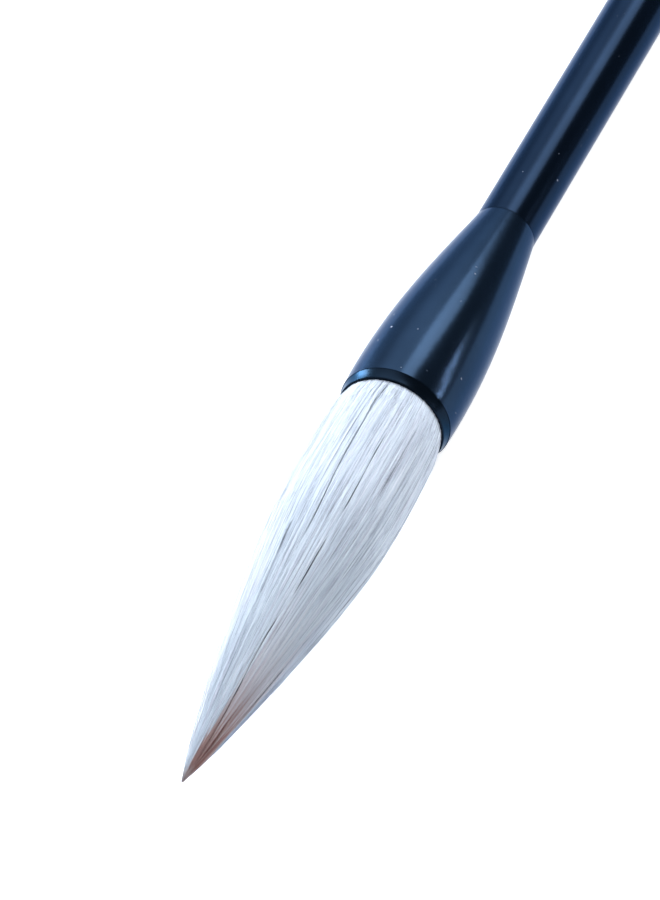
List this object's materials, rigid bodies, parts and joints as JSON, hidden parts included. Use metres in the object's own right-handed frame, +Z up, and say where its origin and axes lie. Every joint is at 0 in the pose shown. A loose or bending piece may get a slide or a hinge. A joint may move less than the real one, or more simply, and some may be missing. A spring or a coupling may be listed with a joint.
{
  "type": "calligraphy brush",
  "caption": "Round calligraphy brush: pointed goat-hair tuft that bends at its belly, turned bell ferrule with a mouth ring, straight shaft and drilled tail cap.",
  "frame": {"origin": "centre of the whole brush's box on the ground it lies on", "axes": "+X from the tuft towards the tail, +Z up; the brush axis lies in the XZ plane and falls by 1.45 degrees towards the tail"},
  "size_m": [0.31, 0.0226, 0.0236],
  "materials": {
    "shaft_lacquer": "black lacquer, satin gloss",
    "ferrule_black": "turned black horn, satin gloss",
    "ring_black": "turned black horn, polished",
    "cap_black": "turned black horn, satin gloss",
    "hair_mantle": "combed white goat hair",
    "hair_root": "combed white goat hair",
    "hair_core": "plain goat hair",
    "hair_centre": "translucent brown hair ends",
    "thread": "waxed hemp thread",
    "resin": "dark rosin"
  },
  "bodies": {
    "handle": {"shaft": "shaft_lacquer", "tail_cap": "cap_black", "ferrule": "ferrule_black", "mouth_ring": "ring_black", "hair_root": "hair_root", "binding_thread": "thread", "root_resin": "resin"},
    "tuft": {"mantle_hair": "hair_mantle", "core_hair": "hair_core", "centre_hair": "hair_centre"}
  },
  "joints": [
    {"name": "tuft_bend", "type": "hinge", "parent": "handle", "child": "tuft", "pos_m": [-0.07668, 0, 0.01198], "axis": [0, 0, 1], "range_deg": [-25, 25], "stiffness_Nm_per_rad": 0.08}
  ]
}
